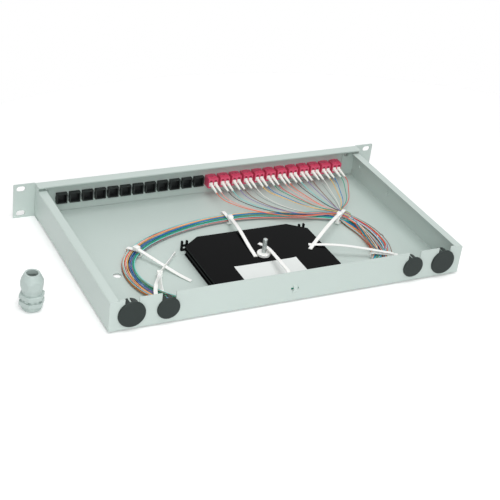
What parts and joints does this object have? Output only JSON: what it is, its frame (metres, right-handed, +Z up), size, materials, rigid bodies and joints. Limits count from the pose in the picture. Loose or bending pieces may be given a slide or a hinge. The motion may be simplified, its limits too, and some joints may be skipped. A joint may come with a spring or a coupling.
{
  "type": "fibre optic patch panel",
  "caption": "Rack-mount fibre patch panel: slotted ears, port row with duplex adapters and blanks, open tray with a splice cassette and a fibre bundle, and a loose cable gland.",
  "frame": {"origin": "centre of the four ear slots, on the rear face of the ears that bears on the rack rails", "axes": "+Y from the panel into the tray, +Z up, +X along the panel towards the blanked half of the port row"},
  "size_m": [0.5306, 0.2724, 0.0436],
  "materials": {
    "sheet_steel": "light grey powder coat",
    "zinc_plated_steel": "zinc plated",
    "white_nylon": "moulded nylon",
    "black_abs": "glossy black moulding",
    "clear_polyolefin": "shrunk tube",
    "dark_polyethylene": "moulded",
    "white_pbt": "moulded",
    "grey_polyamide": "moulded polyamide",
    "black_rubber": "moulded",
    "coloured_fibre": "coloured buffered fibre",
    "magenta_pbt": "moulded",
    "clear_cap": "moulded",
    "black_blank": "moulded"
  },
  "bodies": {
    "root": {"adapter_01": "magenta_pbt", "adapter_02": "magenta_pbt", "adapter_03": "magenta_pbt", "adapter_04": "magenta_pbt", "adapter_05": "magenta_pbt", "adapter_06": "magenta_pbt", "adapter_07": "magenta_pbt", "adapter_08": "magenta_pbt", "adapter_09": "magenta_pbt", "adapter_10": "magenta_pbt", "adapter_11": "magenta_pbt", "adapter_12": "magenta_pbt", "blanking_plug_01": "black_blank", "blanking_plug_02": "black_blank", "blanking_plug_03": "black_blank", "blanking_plug_04": "black_blank", "blanking_plug_05": "black_blank", "blanking_plug_06": "black_blank", "blanking_plug_07": "black_blank", "blanking_plug_08": "black_blank", "blanking_plug_09": "black_blank", "blanking_plug_10": "black_blank", "blanking_plug_11": "black_blank", "blanking_plug_12": "black_blank", "bundle_ties": "white_nylon", "cassette_lower": "black_abs", "cassette_stud": "zinc_plated_steel", "cassette_upper": "black_abs", "fibre_fan": "coloured_fibre", "fibre_ring": "coloured_fibre", "front_panel": "sheet_steel", "gland_body": "grey_polyamide", "gland_seal": "black_rubber", "lid_ties": "white_nylon", "pigtail_connectors": "white_pbt", "splice_holders": "black_abs", "splice_sleeves": "clear_polyolefin", "tab_screws": "zinc_plated_steel", "tray_body": "sheet_steel"},
    "dust_cap_01": {"dust_cap_01": "clear_cap"},
    "dust_cap_02": {"dust_cap_02": "clear_cap"},
    "dust_cap_03": {"dust_cap_03": "clear_cap"},
    "dust_cap_04": {"dust_cap_04": "clear_cap"},
    "dust_cap_05": {"dust_cap_05": "clear_cap"},
    "dust_cap_06": {"dust_cap_06": "clear_cap"},
    "dust_cap_07": {"dust_cap_07": "clear_cap"},
    "dust_cap_08": {"dust_cap_08": "clear_cap"},
    "dust_cap_09": {"dust_cap_09": "clear_cap"},
    "dust_cap_10": {"dust_cap_10": "clear_cap"},
    "dust_cap_11": {"dust_cap_11": "clear_cap"},
    "dust_cap_12": {"dust_cap_12": "clear_cap"},
    "large_plug_left": {"large_plug_left": "dark_polyethylene"},
    "large_plug_right": {"large_plug_right": "dark_polyethylene"},
    "small_plug_left": {"small_plug_left": "dark_polyethylene"},
    "small_plug_right": {"small_plug_right": "dark_polyethylene"},
    "lid": {"cassette_lid": "black_abs"},
    "nut": {"stud_nut": "white_nylon"},
    "gland_dome": {"gland_dome_nut": "grey_polyamide"},
    "gland_lock": {"gland_lock_nut": "grey_polyamide"}
  },
  "joints": [
    {"name": "dust_cap_01_pull", "type": "slide", "parent": "root", "child": "dust_cap_01", "axis": [0, -1, 0], "range_m": [0, 0.02]},
    {"name": "dust_cap_02_pull", "type": "slide", "parent": "root", "child": "dust_cap_02", "axis": [0, -1, 0], "range_m": [0, 0.02]},
    {"name": "dust_cap_03_pull", "type": "slide", "parent": "root", "child": "dust_cap_03", "axis": [0, -1, 0], "range_m": [0, 0.02]},
    {"name": "dust_cap_04_pull", "type": "slide", "parent": "root", "child": "dust_cap_04", "axis": [0, -1, 0], "range_m": [0, 0.02]},
    {"name": "dust_cap_05_pull", "type": "slide", "parent": "root", "child": "dust_cap_05", "axis": [0, -1, 0], "range_m": [0, 0.02]},
    {"name": "dust_cap_06_pull", "type": "slide", "parent": "root", "child": "dust_cap_06", "axis": [0, -1, 0], "range_m": [0, 0.02]},
    {"name": "dust_cap_07_pull", "type": "slide", "parent": "root", "child": "dust_cap_07", "axis": [0, -1, 0], "range_m": [0, 0.02]},
    {"name": "dust_cap_08_pull", "type": "slide", "parent": "root", "child": "dust_cap_08", "axis": [0, -1, 0], "range_m": [0, 0.02]},
    {"name": "dust_cap_09_pull", "type": "slide", "parent": "root", "child": "dust_cap_09", "axis": [0, -1, 0], "range_m": [0, 0.02]},
    {"name": "dust_cap_10_pull", "type": "slide", "parent": "root", "child": "dust_cap_10", "axis": [0, -1, 0], "range_m": [0, 0.02]},
    {"name": "dust_cap_11_pull", "type": "slide", "parent": "root", "child": "dust_cap_11", "axis": [0, -1, 0], "range_m": [0, 0.02]},
    {"name": "dust_cap_12_pull", "type": "slide", "parent": "root", "child": "dust_cap_12", "axis": [0, -1, 0], "range_m": [0, 0.02]},
    {"name": "large_plug_left_pull", "type": "slide", "parent": "root", "child": "large_plug_left", "axis": [0, 1, 0], "range_m": [0, 0.015]},
    {"name": "large_plug_right_pull", "type": "slide", "parent": "root", "child": "large_plug_right", "axis": [0, 1, 0], "range_m": [0, 0.015]},
    {"name": "small_plug_left_pull", "type": "slide", "parent": "root", "child": "small_plug_left", "axis": [0, 1, 0], "range_m": [0, 0.015]},
    {"name": "small_plug_right_pull", "type": "slide", "parent": "root", "child": "small_plug_right", "axis": [0, 1, 0], "range_m": [0, 0.015]},
    {"name": "lid_lift", "type": "slide", "parent": "root", "child": "lid", "axis": [0, 0, 1], "range_m": [0, 0.03], "deforming": ["lid_ties"]},
    {"name": "nut_turn", "type": "hinge", "parent": "lid", "child": "nut", "pos_m": [0.0012, 0.17275, -0.0053], "axis": [0, 0, 1], "continuous": true},
    {"name": "gland_dome_turn", "type": "hinge", "parent": "root", "child": "gland_dome", "pos_m": [0.2754, 0.1828, 0.0082], "axis": [0, 0, 1], "continuous": true},
    {"name": "gland_lock_turn", "type": "hinge", "parent": "root", "child": "gland_lock", "pos_m": [0.2754, 0.1828, -0.0158], "axis": [0, 0, 1], "continuous": true}
  ]
}
